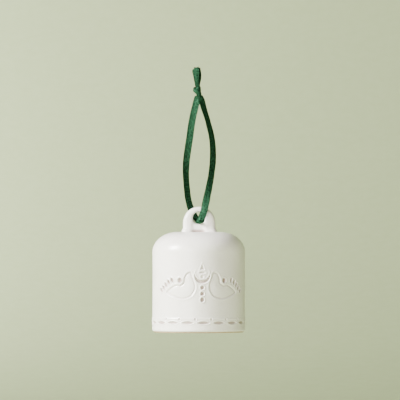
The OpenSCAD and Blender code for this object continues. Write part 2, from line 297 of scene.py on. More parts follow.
def strip(name, rows, material, cup=None, roll=0.0, slant=0.0):
    """A woven strip along the rows. cup is how far its edges bend towards the inner face, roll drops
    its right edge, in radians, and slant is how far its last end is cut out of square."""
    rows = np.asarray(rows, float)
    place = rows[:, :3]
    ahead = np.gradient(place, axis=0)
    ahead /= np.linalg.norm(ahead, axis=1)[:, None]
    turn = np.radians(rows[:, 3])
    level = np.cos(roll)
    side = np.stack([np.cos(turn) * level, np.sin(turn) * level, 0 * turn - np.sin(roll)], axis=1)
    side -= (side * ahead).sum(1)[:, None] * ahead
    side /= np.linalg.norm(side, axis=1)[:, None]
    inward = np.cross(ahead, side)
    run = np.concatenate([[0], np.cumsum(np.linalg.norm(np.diff(place, axis=0), axis=1))])
    cup = np.full(len(rows), 0.12 * MM) if cup is None else cup

    # The section goes from one selvedge to the other and comes back along the inner face.
    right = np.array([0.07, 0.2, 0.32, 0.42, 0.46, 0.485, 0.5])
    across = np.concatenate([-right[::-1], right])
    cord = np.exp(-(((np.abs(across) - 0.478) / 0.022) ** 2))
    half = ribbon_thick / 2 + (selvedge_thick - ribbon_thick) / 2 * cord
    half *= np.sqrt(np.clip(1 - (np.abs(across) / 0.5) ** 40, 0.02, 1))
    section = [(u, -h) for u, h in zip(across, half)] + [(u, h) for u, h in zip(across[::-1], half[::-1])]

    points = []
    for i in range(len(rows)):
        for u, h in section:
            bow = cup[i] * ((2 * u) ** 2 - 0.35)
            wave = 0.05 * MM * (
                math.sin(run[i] / (3.1 * MM) + 2.2 * u) * 2 * u
                + 0.6 * math.sin(run[i] / (1.7 * MM) + 5 * u)
            )
            longer = ahead[i] * slant * u * rows[i, 4] * max(0, 1 - (run[-1] - run[i]) / (3 * MM))
            points.append(place[i] + side[i] * u * rows[i, 4] + inward[i] * (h + bow + wave) + longer)
    ring = len(section)
    piece = new_piece(name, points, swept_faces(len(rows), ring), material, sharp_over=60)

    # The map runs across the strip and along it, in widths of the ribbon.
    layer = piece.data.uv_layers.new(name="weave")
    width = rows[:, 4].max()
    across_of = np.tile([u + 0.5 for u, h in section], len(rows))
    along_of = np.repeat(run / width, ring)
    for corner in piece.data.loops:
        layer.data[corner.index].uv = (across_of[corner.vertex_index], along_of[corner.vertex_index])
    return piece


def satin_finish():
    """Forest green satin: floats of warp along the strip, faint weft across, a thick selvedge, and painted
    sheen and glints in a lighter green.
    """
    satin = Finish("green_satin")
    weave = satin.node("ShaderNodeUVMap", {"uv_map": "weave"})
    across = satin.node("ShaderNodeSeparateXYZ", {}, {"Vector": weave}, out=0)
    along = satin.node("ShaderNodeSeparateXYZ", {}, {"Vector": weave}, out=1)
    warp_count = 26
    weft_count = 15
    stretched = satin.node("ShaderNodeMapping", {}, {"Vector": weave, "Scale": (1.0, 0.16, 1.0)})
    floats = satin.noise(stretched, warp_count * 1.6, 2.0, 0.6)
    drawn_out = satin.node("ShaderNodeMapping", {}, {"Vector": weave, "Scale": (1.0, 0.7, 1.0)})
    patches = satin.noise(drawn_out, 3.2, 3.0)
    glints = satin.noise(weave, 5.5, 2.0)
    warp = satin.node("ShaderNodeMath", {"operation": "SINE"}, {0: across * (warp_count * 2 * math.pi)})
    weft = satin.node("ShaderNodeMath", {"operation": "SINE"}, {0: along * (weft_count * 2 * math.pi)})
    off_middle = satin.node("ShaderNodeMath", {"operation": "ABSOLUTE"}, {0: across - 0.5})
    edge = satin.grey(off_middle, 0.43, 0.48)

    deep = colour(0.0008, 0.0045, 0.0017)
    painted_glint_green = colour(0.023, 0.079, 0.043)
    # Painted sheen and glints: the weave's noise mixes the dark green with a lighter green in the base
    # colour.
    shade = satin.mix(satin.grey(floats * 0.3 + patches * 0.2 + glints * 0.7, 0.52, 0.72), deep, painted_glint_green)
    shade = satin.mix(edge * 0.8, shade, colour(0.0012, 0.006, 0.0024))
    rough = 0.3 + satin.grey(patches, 0.3, 0.7) * 0.08 + satin.grey(glints, 0.35, 0.65) * 0.12
    rough = rough + edge * 0.15
    threads = satin.bump(warp * 0.5 + weft * 0.16 + floats * 1.4 + edge * 0.8, 0.03 * MM, 0.7)
    creases = satin.bump(patches + glints * 0.7, 0.45 * MM, 0.7, under=threads)
    return satin.surface(
        base_color=shade,
        roughness=rough,
        normal=creases,
        metallic=0.6,
        specular_ior_level=0.08,
        specular_tint=colour(0.4, 1.0, 0.55),
    )


green_satin = satin_finish()
all_rows = smooth_rows(route, ribbon_step)
first = int(np.argmax(all_rows[:, 2] < neck_low))
last = len(all_rows) - 1 - int(np.argmax(all_rows[::-1, 2] < neck_low))
loop_rows = all_rows[first:last + 1].copy()

# In the hole the strip lies on the round floor, dished to it, and bellies out over the front lip.
hole_middle = -70 * MM
drawn_down = 0.45 * MM
y_of, z_of = loop_rows[:, 1], loop_rows[:, 2]
in_hole = np.exp(-((y_of / (4.8 * MM)) ** 6)) * (z_of < hole_middle)
on_lip = np.exp(-(((y_of + 5.6 * MM) / (1.3 * MM)) ** 2)) * np.clip((hole_middle - z_of) / (1.5 * MM), 0, 1)
loop_roll = in_hole * np.arctan2(-loop_rows[:, 0], np.maximum(hole_middle - z_of, 1 * MM))
loop_rows[:, 0] -= drawn_down * in_hole * np.sin(loop_roll)
loop_rows[:, 2] -= drawn_down * in_hole * np.cos(loop_roll) + 0.5 * MM * on_lip
loop_cup = 0.12 * MM + 0.75 * MM * in_hole + 1.2 * MM * on_lip
loop_width = float(loop_rows[:, 4].max())

ribbon_loop = strip("ribbon_loop", loop_rows, green_satin, cup=loop_cup, roll=loop_roll)
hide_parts("ribbon_strands", "ribbon_bight")
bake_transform(ribbon_loop)

# ---------------------------------------------------------------------------
# The ribbon's neck
# The last 17 mm of each strand: they lean together, the front one laps a little
# over the rear one, and both gather into the knot. The loop sways from here.
# ---------------------------------------------------------------------------
rear_neck = strip("ribbon_neck_rear", all_rows[:first + 1], green_satin)
front_neck = strip("ribbon_neck_front", all_rows[last:], green_satin)
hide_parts("ribbon_neck")
for neck in (rear_neck, front_neck):
    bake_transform(neck)

# ---------------------------------------------------------------------------
# The knot
# An overhand knot tied with both strands together and pulled down to a block
# about 5 mm wide: the gathered strands, a turn round them, and a band that folds
# sharply at the left and crosses the front on its way down to the front strand.
# ---------------------------------------------------------------------------
knot_low, knot_high = (c[2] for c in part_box("ribbon_knot"))
knot_middle = (knot_low + knot_high) / 2
knot_axis = -0.0003


def wrap_rows(turns, start, high, low, radius, width):
    """Rows of a strip that winds down round the gathered strands."""
    rows = []
    for t in np.linspace(0, 1, 90):
        angle = start + 2 * math.pi * turns * t
        rows.append((
            knot_axis + radius * math.cos(angle),
            0.86 * radius * math.sin(angle),
            high + (low - high) * t,
            width * (1 - 0.16 * math.cos(2 * angle)),
        ))
    return np.array(rows)


def wrap_strip(name, rows, material):
    """A strip that lies on its face round an upright core, gathered into soft pleats."""
    place = rows[:, :3]
    ahead = np.gradient(place, axis=0)
    ahead /= np.linalg.norm(ahead, axis=1)[:, None]
    up = np.array([0, 0, 1.0]) - ahead[:, 2:3] * ahead
    up /= np.linalg.norm(up, axis=1)[:, None]
    out = np.cross(ahead, up)
    run = np.concatenate([[0], np.cumsum(np.linalg.norm(np.diff(place, axis=0), axis=1))])
    across = np.linspace(-0.5, 0.5, 15)
    section = [(u, 1) for u in across] + [(u, -1) for u in across[::-1]]
    points = []
    for i in range(len(rows)):
        for u, face in section:
            tuck = -0.5 * MM * (2 * abs(u)) ** 3
            pleat = 0.08 * MM * math.sin(9 * u + run[i] / (1.6 * MM)) + 0.05 * MM * math.sin(21 * u + 2)
            lift = face * ribbon_thick / 2 + tuck + pleat
            points.append(place[i] + up[i] * u * rows[i, 3] + out[i] * lift)
    ring = len(section)
    piece = new_piece(name, points, swept_faces(len(rows), ring), material, sharp_over=60)
    layer = piece.data.uv_layers.new(name="weave")
    for corner in piece.data.loops:
        i, k = divmod(corner.vertex_index, ring)
        layer.data[corner.index].uv = (section[k][0] + 0.5, run[i] / loop_width)
    return piece


knot_wrap = wrap_strip(
    "ribbon_knot_wrap",
    wrap_rows(1.15, math.radians(80), knot_high - 1.4 * MM, knot_low + 2.4 * MM, 1.55 * MM, 2.6 * MM),
    green_satin,
)
# Each row of the band is x, y, z and width.
band_rows = [
    (0.0012, 0.0013, 0.0096, 0.0024),
    (-0.0008, 0.0019, 0.0096, 0.0026),
    (-0.0026, 0.0012, 0.0092, 0.0025),
    (-0.0034, 0.0002, 0.0088, 0.0024),
    (-0.0028, -0.0010, 0.0084, 0.0027),
    (-0.0015, -0.0018, 0.0077, 0.0030),
    (-0.0001, -0.0020, 0.0067, 0.0031),
    (0.0010, -0.0016, 0.0056, 0.0030),
    (0.0015, -0.0010, 0.0046, 0.0027),
]
knot_band = wrap_strip("ribbon_knot_band", smooth_rows(band_rows, ribbon_step), green_satin)
core_rows = [
    (knot_axis + 0.2 * MM, 0.0005, knot_low - 0.5 * MM, 8, 0.0026),
    (knot_axis - 0.1 * MM, 0.0004, knot_middle, 0, 0.0027),
    (knot_axis - 0.3 * MM, 0.0005, knot_high + 0.7 * MM, 4, 0.0024),
]
rear_core = strip("ribbon_knot_rear_core", smooth_rows(core_rows, ribbon_step), green_satin)
core_rows = [(x, -y - 0.0002, z, turn, width) for x, y, z, turn, width in core_rows]
front_core = strip("ribbon_knot_front_core", smooth_rows(core_rows, ribbon_step), green_satin)
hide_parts("ribbon_knot")
for piece in (knot_wrap, knot_band, rear_core, front_core):
    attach(piece, "hanger")

# ---------------------------------------------------------------------------
# The tails
# The ribbon's two cut ends, about 11 mm long, stand above the knot one behind the
# other. They spread from the pinch of the knot to their full width.
# ---------------------------------------------------------------------------
front_tail = [
    (-0.0012, -0.0006, 0.0108, -5, 0.0022),
    (-0.0014, -0.0008, 0.0134, -8, 0.0026),
    (-0.0016, -0.0009, 0.0156, -10, 0.0032),
    (-0.0017, -0.0009, 0.0180, -10, 0.0039),
    (-0.0019, -0.0009, 0.0202, -10, 0.0043),
    (-0.0020, -0.0008, 0.0221, -10, 0.0041),
]
rear_tail = [
    (-0.0006, 0.0005, 0.0108, 12, 0.0024),
    (-0.0005, 0.0009, 0.0136, 22, 0.0034),
    (-0.0003, 0.0012, 0.0162, 28, 0.0043),
    (-0.0003, 0.0013, 0.0186, 28, 0.0043),
    (-0.0007, 0.0013, 0.0208, 28, 0.0043),
    (-0.0011, 0.0013, 0.0225, 28, 0.0043),
]
tails = [
    strip("ribbon_tail_front", smooth_rows(front_tail, ribbon_step), green_satin, slant=0.42),
    strip("ribbon_tail_rear", smooth_rows(rear_tail, ribbon_step), green_satin, slant=-0.25),
]
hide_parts("ribbon_tails")
for tail in tails:
    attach(tail, "hanger")

[tuple(p) for p in loop_rows[::4, :3]] + [tuple(loop_rows[-1, :3])]

# ---------------------------------------------------------------------------
# The clapper's cord
# Natural cotton, three plies twisted to 1.4 mm. It is knotted under the eye,
# runs straight down through the bead, and ends in a second knot below it.
# ---------------------------------------------------------------------------
cord_radius = 0.7 * MM
ply_pitch = 4.2 * MM
cord_low, cord_high = (c[2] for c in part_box("clapper_cord"))


def cotton_finish():
    cotton = Finish("cotton_cord")
    place = cotton.node("ShaderNodeTexCoord", out=3)
    fibre = cotton.noise(place, 2600.0, 4.0, 0.65)
    slub = cotton.noise(place, 420.0, 2.0)
    shade = cotton.mix(
        cotton.grey(fibre * 0.6 + slub * 0.5, 0.35, 0.75), colour(0.42, 0.33, 0.2), colour(0.72, 0.62, 0.45)
    )
    fuzz = cotton.bump(fibre, 0.06 * MM, 0.7)
    return cotton.surface(
        base_color=shade, roughness=0.82, normal=fuzz, sheen_weight=0.3, sheen_roughness=0.5
    )


def twisted_cord_nodes():
    """Plies that wind round the curve they are given, swept round and joined."""
    tree = bpy.data.node_groups.new("twisted_cord", "GeometryNodeTree")
    port = tree.interface.new_socket
    port("Curve", in_out="INPUT", socket_type="NodeSocketGeometry")
    port("Plies", in_out="INPUT", socket_type="NodeSocketInt")
    port("Turns", in_out="INPUT", socket_type="NodeSocketFloat")
    port("Lay radius", in_out="INPUT", socket_type="NodeSocketFloat")
    port("Ply radius", in_out="INPUT", socket_type="NodeSocketFloat")
    port("Points", in_out="INPUT", socket_type="NodeSocketInt")
    port("Finish", in_out="INPUT", socket_type="NodeSocketMaterial")
    port("Cord", in_out="OUTPUT", socket_type="NodeSocketGeometry")

    def node(kind, settings=None, values=None):
        made = tree.nodes.new(kind)
        for name, value in (settings or {}).items():
            setattr(made, name, value)
        for name, value in (values or {}).items():
            if isinstance(value, bpy.types.NodeSocket):
                tree.links.new(value, made.inputs[name])
            else:
                made.inputs[name].default_value = value
        return made

    def maths(operation, first, second=0.0):
        return node("ShaderNodeMath", {"operation": operation}, {0: first, 1: second}).outputs[0]

    def scaled(vector, amount):
        return node("ShaderNodeVectorMath", {"operation": "SCALE"}, {0: vector, "Scale": amount}).outputs[0]

    given = node("NodeGroupInput").outputs
    line = node("GeometryNodeResampleCurve", {}, {"Curve": given["Curve"], "Count": given["Points"]})
    plies = node(
        "GeometryNodeDuplicateElements", {"domain": "SPLINE"},
        {"Geometry": line.outputs[0], "Amount": given["Plies"]},
    )
    share = maths("DIVIDE", plies.outputs["Duplicate Index"], given["Plies"])
    factor = node("GeometryNodeSplineParameter").outputs["Factor"]
    turned = maths("ADD", maths("MULTIPLY", factor, given["Turns"]), share)
    angle = maths("MULTIPLY", turned, 2 * math.pi)
    normal = node("GeometryNodeInputNormal").outputs[0]
    tangent = node("GeometryNodeInputTangent").outputs[0]
    crossed = node("ShaderNodeVectorMath", {"operation": "CROSS_PRODUCT"}, {0: tangent, 1: normal})
    beside = crossed.outputs[0]
    off_normal = scaled(normal, maths("MULTIPLY", maths("COSINE", angle), given["Lay radius"]))
    off_beside = scaled(beside, maths("MULTIPLY", maths("SINE", angle), given["Lay radius"]))
    offset = node("ShaderNodeVectorMath", {"operation": "ADD"}, {0: off_normal, 1: off_beside}).outputs[0]
    wound = node("GeometryNodeSetPosition", {}, {"Geometry": plies.outputs["Geometry"], "Offset": offset})
    ring = node("GeometryNodeCurvePrimitiveCircle", {}, {"Resolution": 12, "Radius": given["Ply radius"]})
    swept = node(
        "GeometryNodeCurveToMesh", {},
        {"Curve": wound.outputs[0], "Profile Curve": ring.outputs[0], "Fill Caps": True},
    )
    smooth = node("GeometryNodeSetShadeSmooth", {}, {"Geometry": swept.outputs[0]})
    real = node("GeometryNodeRealizeInstances", {}, {"Geometry": smooth.outputs[0]})
    finished = node(
        "GeometryNodeSetMaterial", {}, {"Geometry": real.outputs[0], "Material": given["Finish"]}
    )
    node("NodeGroupOutput", {}, {"Cord": finished.outputs[0]})
    return tree


def twisted(name, line, turns, points, closed=False, thick=1.0):
    """A plain mesh of the twisted cord along a line of points."""
    curve = bpy.data.curves.new(name + "_line", "CURVE")
    curve.dimensions = "3D"
    spline = curve.splines.new("POLY")
    spline.points.add(len(line) - 1)
    for point, p in zip(spline.points, line):
        point.co = (*p, 1.0)
    spline.use_cyclic_u = closed
    guide = bpy.data.objects.new(name + "_guide", curve)
    bpy.context.collection.objects.link(guide)
    modifier = guide.modifiers.new("cord", "NODES")
    modifier.node_group = cord_tree
    wanted = {
        "Plies": 3, "Turns": float(turns), "Lay radius": 0.34 * MM * thick, "Ply radius": 0.38 * MM * thick,
        "Points": points, "Finish": cotton,
    }
    for item in cord_tree.interface.items_tree:
        if item.name in wanted:
            modifier[item.identifier] = wanted[item.name]
    seen = bpy.context.evaluated_depsgraph_get()
    mesh = bpy.data.meshes.new_from_object(guide.evaluated_get(seen))
    mesh.name = name
    bpy.data.objects.remove(guide)
    piece = bpy.data.objects.new(name, mesh)
    bpy.context.collection.objects.link(piece)
    return piece


cotton = cotton_finish()
cord_tree = twisted_cord_nodes()

# The cord hangs a hair off straight, as limp cord under a light bead does.
hang_line = [
    (0.09 * MM * math.sin(z / (6.5 * MM)), 0.07 * MM * math.cos(z / (8.5 * MM)) - 0.05 * MM, z)
    for z in np.linspace(cord_high, cord_low, 60)
]
hang_length = cord_high - cord_low
clapper_cord = twisted("clapper_cord_cotton", hang_line, hang_length / ply_pitch, 170)
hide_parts("clapper_cord")
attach(clapper_cord, "clapper")

# The cord's loop round the bar of the eye, and the two knots in the cord.
loop_low, loop_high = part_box("clapper_loop")
loop_middle = (loop_low + loop_high) / 2
loop_radius = (loop_high[2] - loop_low[2]) / 2 - cord_radius
loop_line = [
    (loop_middle[0], loop_middle[1] + loop_radius * math.sin(a), loop_middle[2] + loop_radius * math.cos(a))
    for a in np.linspace(0, 2 * math.pi, 48, endpoint=False)
]
clapper_loop = twisted("clapper_loop_cotton", loop_line, 4, 84, closed=True)
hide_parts("clapper_loop")
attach(clapper_loop, "clapper_hitch")


def knot_line(middle, reach):
    """A trefoil, which is an overhand knot with its ends joined, laid flat."""
    size = reach / 3
    return [
        (
            middle[0] + size * (math.sin(a) + 2 * math.sin(2 * a)),
            middle[1] + size * (math.cos(a) - 2 * math.cos(2 * a)),
            middle[2] - size * 1.25 * math.sin(3 * a),
        )
        for a in np.linspace(0, 2 * math.pi, 90, endpoint=False)
    ]


for node, name in (("clapper_knot", "clapper_upper_knot"), ("clapper_end_knot", "clapper_lower_knot")):
    low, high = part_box(node)
    reach = (high[0] - low[0]) / 2 - 0.62 * MM
    knot = twisted(name, knot_line((low + high) / 2, reach), 5, 150, closed=True, thick=0.86)
    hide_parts(node)
    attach(knot, "clapper")

# ---------------------------------------------------------------------------
# The bead
# A turned beech ball, 14 mm, drilled through for the cord, its edges just
# broken and its surface waxed. It strikes the wall when the bell is shaken.
# ---------------------------------------------------------------------------
bead_low, bead_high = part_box("clapper_bead")
bead_middle = (bead_low + bead_high) / 2
bead_radius = (bead_high[0] - bead_low[0]) / 2
bead_bore = 1.5 * MM
bead_edge = 0.35 * MM


def ring_faces(rows, ring):
    """As swept_faces, but the last ring joins the first and nothing needs an end."""
    return [
        (
            i * ring + k, i * ring + (k + 1) % ring,
            (i + 1) % rows * ring + (k + 1) % ring, (i + 1) % rows * ring + k,
        )
        for i in range(rows) for k in range(ring)
    ]


def lathe(name, profile, steps, material):
    """A closed outline of (radius, height) pairs turned round the Z axis."""
    points = [
        (r * math.cos(a), r * math.sin(a), z)
        for a in np.linspace(0, 2 * math.pi, steps, endpoint=False) for r, z in profile
    ]
    return new_piece(name, points, ring_faces(steps, len(profile)), material)


def beech_finish():
    beech = Finish("beech")
    centred = beech.node(
        "ShaderNodeMapping", {},
        {
            "Vector": beech.node("ShaderNodeTexCoord", out=3),
            "Location": tuple(-c for c in bead_middle),
        },
    )
    grain_place = beech.node("ShaderNodeMapping", {}, {"Vector": centred, "Scale": (1.0, 1.0, 0.12)})
    warp = beech.noise(grain_place, 260.0, 3.0)
    rings = beech.node(
        "ShaderNodeTexWave", {"wave_type": "RINGS", "rings_direction": "Y"},
        {"Vector": centred, "Scale": 190.0, "Distortion": 1.6, "Detail": 2.0, "Detail Scale": 1.4},
    )
    flecks = beech.noise(grain_place, 2400.0, 3.0, 0.7)
    tone = rings * 0.45 + warp * 0.35 + flecks * 0.35
    shade = beech.ramp(
        tone,
        [
            (0.25, colour(0.36, 0.2, 0.095)),
            (0.55, colour(0.55, 0.34, 0.17)),
            (0.85, colour(0.66, 0.45, 0.25)),
        ],
    )
    pores = beech.bump(flecks * 0.7 + rings * 0.25, 0.05 * MM, 0.5)
    return beech.surface(
        base_color=shade,
        roughness=0.4 + beech.grey(flecks, 0.35, 0.75) * 0.2,
        normal=pores,
        coat_weight=0.12,
        coat_roughness=0.35,
    )


bead_start = math.asin((bead_bore + bead_edge) / bead_radius)
bead_profile = [
    (bead_radius * math.sin(a), bead_middle[2] + bead_radius * math.cos(a))
    for a in np.linspace(bead_start, math.pi - bead_start, 72)
]
bead_end = bead_profile[-1][1]
bead_top = bead_profile[0][1]
bead_profile += [(bead_bore + 0.1 * MM, bead_end + 0.04 * MM), (bead_bore, bead_end + 0.3 * MM)]
bead_profile += [(bead_bore, bead_middle[2] + k * 1.5 * MM) for k in range(-3, 4)]
bead_profile += [(bead_bore, bead_top - 0.3 * MM), (bead_bore + 0.1 * MM, bead_top - 0.04 * MM)]
clapper_bead = lathe("clapper_bead_beech", bead_profile, 96, beech_finish())
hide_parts("clapper_bead")
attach(clapper_bead, "clapper")

# ---------------------------------------------------------------------------
# The bell
# One thick stoneware shell, 57 mm across, cast and then stamped while soft: two
# birds that face a cup under a drop, with five dashes over each tail and three
# dots below. A thicker hem carries leaf marks and dots. Creamy glaze covers all
# but the foot and pools brown in the marks, and the brown there is also painted
# shade.
# ---------------------------------------------------------------------------
shell_low, shell_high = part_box("bell_shell")
rim_z = shell_low[2]
crown_z = shell_high[2]
bell_height = (crown_z - rim_z) / MM
hem_radius = (shell_high[0] - shell_low[0]) / 2 / MM
motif_turn = math.radians(4.5)

# The bell's own sizes are in millimetres: arc length from the pattern's centre
# line along the wall, and height above the rim.
hem_out = 0.3
wall_thick = 4
crown_thick = 3.75
wall_radius = hem_radius - hem_out
inner_radius = wall_radius - wall_thick
pattern_top = 45
full_pool = 0.85
bird = [
    (7.1, 37), (9.5, 36.4), (11.2, 33.6), (11.6, 30.8), (13.9, 29.1), (16.5, 29.4),
    (19.7, 28.2), (22.8, 26.2), (23.7, 24.4), (18.6, 22.3), (15, 21.2), (11.1, 21),
    (7.1, 22.6), (5, 25.4), (4.3, 28.6), (5.3, 32.3), (6.3, 34.6),
]
dashes = [(19.8, 32.3, 22), (22.4, 31.1, 27), (24.6, 29.4, 38), (26.6, 27.6, 44), (28.7, 26, 46)]
hem_marks = 18


def closed_curve(points, steps):
    """The smooth closed curve through an outline's points."""
    a, b, c, d = (np.roll(np.array(points, float), shift, axis=0)[:, None] for shift in (1, 0, -1, -2))
    t = (np.arange(steps) / steps)[None, :, None]
    bend = (2 * a - 5 * b + 4 * c - d) * t**2 + (3 * b - a - 3 * c + d) * t**3
    return (0.5 * (2 * b + (c - a) * t + bend)).reshape(-1, 2)


def outline_distance(outline, s, h):
    """How far each point lies outside a closed outline, negative inside."""
    end = np.roll(outline, -1, axis=0)
    near = np.full(s.shape, 1e9)
    inside = np.zeros(s.shape, bool)
    for (x0, y0), (x1, y1) in zip(outline, end):
        dx, dy = x1 - x0, y1 - y0
        t = np.clip(((s - x0) * dx + (h - y0) * dy) / (dx * dx + dy * dy + 1e-12), 0, 1)
        near = np.minimum(near, np.hypot(s - x0 - t * dx, h - y0 - t * dy))
        crosses = (y0 > h) != (y1 > h)
        inside ^= crosses & (s < dx * (h - y0) / (dy if dy else 1e-12) + x0)
    return np.where(inside, -near, near)


def leaf_distance(x, y, width, height):
    """As outline_distance, for two arcs that meet in points on the x axis."""
    radius = (width**2 + height**2) / (4 * height)
    off = radius - height / 2
    return np.maximum(np.hypot(x, y + off), np.hypot(x, y - off)) - radius


def pressed(distance, deep, soft):
    """Depth of a mark with soft walls, with a low lip thrown up round it."""
    fall = np.clip((soft - distance) / (2 * soft), 0, 1)
    lip = 0.26 * deep * np.exp(-(((distance - 1.7 * soft) / soft) ** 2))
    return deep * fall * fall * (3 - 2 * fall) - lip


def relief(s, h, turn):
    """Depth of everything pressed into the wall at arc length s, height h and turn from the front."""
    deep = np.zeros(s.shape)
    near = (np.abs(s) < 31) & (h > 17) & (h < 44)
    x, y = s[near], h[near]
    sum_of = np.zeros(x.shape)
    outline = closed_curve(bird, 6)
    for side in (-1, 1):
        d = outline_distance(outline, side * x, y)
        sum_of += 0.34 * np.exp(-(((d + 0.15) / 0.45) ** 2))
        sum_of += 0.34 * np.clip(-d / 0.5, 0, 1) * np.exp(-np.clip(-d, 0, 9) / 2.6)
        sum_of -= 0.15 * np.exp(-(((d - 0.75) / 0.5) ** 2))
        sum_of += pressed((np.hypot((side * x - 14.3) / 1.25, (y - 32.2) / 1.45) - 1) * 1.3, 0.85, 0.32)
        for along, high, lean in dashes:
            lean = math.radians(lean)
            u = (side * x - along) * math.cos(lean) - (y - high) * math.sin(lean)
            v = (side * x - along) * math.sin(lean) + (y - high) * math.cos(lean)
            sum_of += pressed(leaf_distance(v, u, 3.3, 1.6), 0.95, 0.27)
    drop = np.maximum(np.abs(x) * 0.94 + (y - 42.0) * 0.36, 39.0 - y)
    sum_of += pressed(drop, 0.55, 0.3)
    sum_of += pressed(leaf_distance(x, y - 37.0, 3.6, 1.15), 0.5, 0.3)
    sum_of += pressed(np.hypot(x, y - 34.5) - 0.8, 0.4, 0.35)
    cup = np.maximum(np.hypot(x, y - 35.05) - 4.7, 4.9 - np.hypot(x, y - 37.2))
    sum_of += pressed(cup, 0.7, 0.3)
    for high, tall in ((27.8, 1.0), (24.1, 1.0), (20.4, 1.2)):
        sum_of += pressed(np.hypot(x, (y - high) / tall) - 1.05, 0.95, 0.32)
    deep[near] = sum_of

    near = (h > 3.5) & (h < 11)
    y = h[near]
    pitch = 2 * math.pi / hem_marks
    for start, high, kind in ((6, 6.2, "leaf"), (-4.2, 8.4, "dot")):
        part = (turn[near] - math.radians(start) + pitch / 2) % pitch - pitch / 2
        x = part * hem_radius
        if kind == "leaf":
            deep[near] += pressed(leaf_distance(x, y - high, 7.6, 1.7), 0.7, 0.26)
        else:
            deep[near] += pressed(np.hypot(x, y - high) - 0.6, 0.5, 0.28)
    return deep


# The outer profile from the crown's middle to the foot, then up the inside.
flat_radius, shoulder_high = 13.1, 12.3
shoulder_foot = bell_height - shoulder_high
profile = [(r, bell_height + 0.02 * math.cos(r)) for r in (0, 1, 3, 5.5, 8, 10, 11.6)]
for t in np.radians(np.linspace(0, 90, 26)):
    profile.append((
        flat_radius + (wall_radius - flat_radius) * math.sin(t),
        shoulder_foot + shoulder_high * math.cos(t),
    ))
profile += [(wall_radius, h) for h in np.arange(49.3, 43.6, -0.8)]
profile += [(wall_radius, h) for h in np.arange(43.5, 17.4, -0.25)]
profile += [(wall_radius, h) for h in np.arange(16.7, 10.9, -0.8)]
for h in np.arange(10.6, 7.2, -0.2):
    step = 1 / (1 + math.exp((h - 9.0) / 0.22))
    ridge = 0.16 * math.exp(-(((h - 8.6) / 0.5) ** 2))
    profile.append((wall_radius + hem_out * 0.5 * step + ridge, h))
profile += [(wall_radius + hem_out * 0.5, h) for h in np.arange(7.1, 4.9, -0.2)]
profile += [(wall_radius + hem_out * 0.5, h) for h in (4.6, 4.1, 3.4, 2.7, 2.2)]
glaze_edge = len(profile)
for t in np.radians(np.linspace(0, 90, 8)):
    profile.append((wall_radius + 0.15 - 0.75 * (1 - math.cos(t)), 1.75 - 0.95 * math.sin(t)))
bare_from = len(profile)
profile += [(27.85, 0.72), (27.75, 0.45), (27.55, 0.16), (27.2, 0.0), (26.3, 0.0)]
profile += [(25.4, 0.0), (25.0, 0.12)]
bare_to = len(profile)
profile += [(24.75, 0.5), (inner_radius, 1.1)]
profile += [(inner_radius, h) for h in (3, 6, 10, 15, 21, 27, 33, 39, 43.5)]
inner_flat, inner_shoulder, ceiling = 12, 11, bell_height - crown_thick
for t in np.radians(np.linspace(90, 0, 15)):
    profile.append((
        inner_flat + (inner_radius - inner_flat) * math.sin(t),
        ceiling - inner_shoulder + inner_shoulder * math.cos(t),
    ))
profile += [(9, ceiling), (6, ceiling), (3, ceiling), (0, ceiling)]

# Columns stand close together over the pattern and wider apart round the back.
fine = np.radians(np.arange(-66, 66, 0.4)) + motif_turn
coarse = np.radians(np.linspace(66, 294, 150, endpoint=False)) + motif_turn
turns = np.concatenate([fine, coarse])


def map_glaze(piece, pool, bare):
    """Two attributes for the finish: how deep the glaze pools, with painted shade in the marks and joins,
    and where the clay is bare.
    """
    for name, values in (("pool", pool), ("bare", bare)):
        layer = piece.data.attributes.new(name, "FLOAT", "POINT")
        layer.data.foreach_set("value", np.array(values, np.float32))


def shell_mesh(material):
    columns = len(turns)
    radius = np.array([p[0] for p in profile])[1:-1, None] * np.ones((1, columns))
    height = np.array([p[1] for p in profile])[1:-1, None] * np.ones((1, columns))
    turn = turns[None, :] * np.ones((len(profile) - 2, 1))
    arc = ((turn - motif_turn + math.pi) % (2 * math.pi) - math.pi) * wall_radius
    outside = np.zeros(radius.shape, bool)
    outside[:glaze_edge] = True
    deep = np.where(outside & (height < pattern_top), relief(arc, height, turn), 0)
    # Hand finishing leaves the wall a few hundredths of a millimetre off true.
    unevenness = (
        np.sin(2 * turn + height / 17) * 0.05 + np.sin(3 * turn - height / 9 + 1) * 0.03
        + np.sin(7 * turn + height / 5 + 2) * 0.012
    )
    radius = radius - deep - np.abs(unevenness) * np.clip(radius / wall_radius, 0, 1)

    points = [(0, 0, rim_z + profile[0][1] * MM)]
    for r, h, t in zip(radius.ravel(), height.ravel(), turn.ravel()):
        points.append((r * MM * math.sin(t), -r * MM * math.cos(t), rim_z + h * MM))
    points.append((0, 0, rim_z + profile[-1][1] * MM))
    rows = len(profile) - 2
    faces = []
    for k in range(columns):
        m = (k + 1) % columns
        faces.append((0, 1 + k, 1 + m))
        bottom = 1 + (rows - 1) * columns
        faces.append((len(points) - 1, bottom + m, bottom + k))
        for i in range(rows - 1):
            faces.append((1 + i * columns + k, 1 + (i + 1) * columns + k,
                          1 + (i + 1) * columns + m, 1 + i * columns + m))
    piece = new_piece("bell_stoneware", points, faces, material, sharp_over=50)

    bare = np.zeros((rows, columns))
    bare[bare_from - 1:bare_to - 1] = 1
    # The brown in the marks is glaze pooling and painted shade in the hollows together.
    pool = np.clip(deep / full_pool, -0.3, 1)
    map_glaze(piece, np.concatenate([[0], pool.ravel(), [0]]), np.concatenate([[0], bare.ravel(), [0]]))
    return piece


